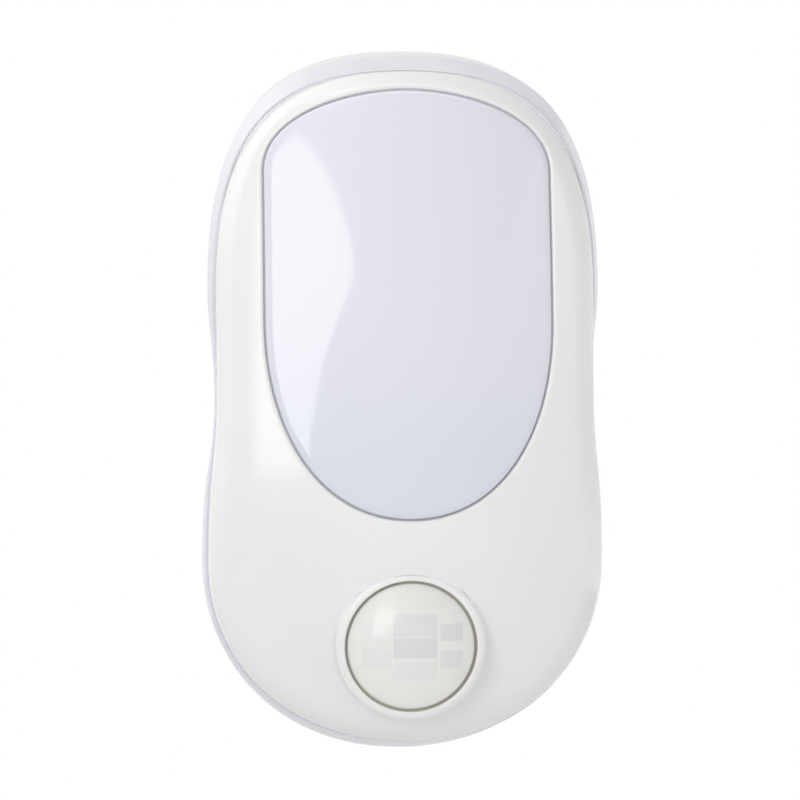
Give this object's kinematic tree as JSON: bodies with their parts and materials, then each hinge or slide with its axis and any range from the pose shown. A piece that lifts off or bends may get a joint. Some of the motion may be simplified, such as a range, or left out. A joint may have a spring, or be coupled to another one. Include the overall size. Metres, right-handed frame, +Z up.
{
  "type": "plug-in motion-sensor night light",
  "caption": "Plug-in wall night light: peanut-shaped gloss white shell with an opal window above a domed motion sensor, a fixed europlug behind and a slide switch on its side.",
  "frame": {"origin": "midway between the plug pins on the plug's end face", "axes": "+Z up the wall, the lit front faces -Y, the pins point along +Y into the socket, +X is to the viewer's right"},
  "size_m": [0.0734, 0.0722, 0.1287],
  "materials": {
    "housing_white": "satin moulded",
    "cover_white": "polished",
    "opal": "polished opal",
    "pir_film": "satin translucent",
    "holder_black": "matt moulded",
    "can_metal": "plain",
    "filter_dark": "coated",
    "tinned": "tinned",
    "clear_resin": "cast",
    "board_green": "solder resist",
    "board_white": "white solder resist",
    "screw_steel": "zinc plated",
    "wire_brown": "plain",
    "wire_blue": "plain",
    "wire_black": "plain",
    "film_yellow": "cast",
    "chip_black": "moulded",
    "choke_dark": "ferrite",
    "can_sleeve": "shrink sleeve",
    "resistor_blue": "lacquered",
    "chip_grey": "ceramic",
    "reflector_white": "white moulded",
    "led_phosphor": "phosphor in a white case",
    "carrier_white": "moulded",
    "pin_nickel": "nickel-plated brass",
    "sleeve_black": "moulded",
    "slider_white": "fine grain"
  },
  "bodies": {
    "lamp": {"rear_housing": "housing_white", "plug_housing": "housing_white", "diffuser": "opal", "front_cover": "cover_white", "pir_lens": "pir_film", "pir_lens_holder": "holder_black", "pir_sensor": "can_metal", "pir_sensor_window": "filter_dark", "pir_sensor_leads": "tinned", "light_sensor": "clear_resin", "sensor_board": "board_green", "sensor_board_screws": "screw_steel", "sensor_wires": "wire_black", "driver_board": "board_green", "film_capacitor": "film_yellow", "bridge_rectifier": "chip_black", "control_chip": "chip_black", "choke": "choke_dark", "bulk_capacitor": "can_sleeve", "filter_capacitor": "can_sleeve", "fusible_resistor": "resistor_blue", "chip_resistors": "chip_grey", "reflector": "reflector_white", "led_board": "board_white", "led_chips": "led_phosphor", "led_wires": "wire_black", "stack_screws": "screw_steel", "case_screws": "screw_steel", "switch_body": "chip_black", "pin_carrier": "carrier_white", "plug_pin_left": "pin_nickel", "plug_pin_right": "pin_nickel", "pin_sleeve_left": "sleeve_black", "pin_sleeve_right": "sleeve_black", "live_wire": "wire_brown", "neutral_wire": "wire_blue"},
    "slider": {"mode_slider": "slider_white"}
  },
  "joints": [
    {"name": "mode_slide", "type": "slide", "parent": "lamp", "child": "slider", "axis": [0, 0, 1], "range_m": [-0.002, 0.002]}
  ]
}
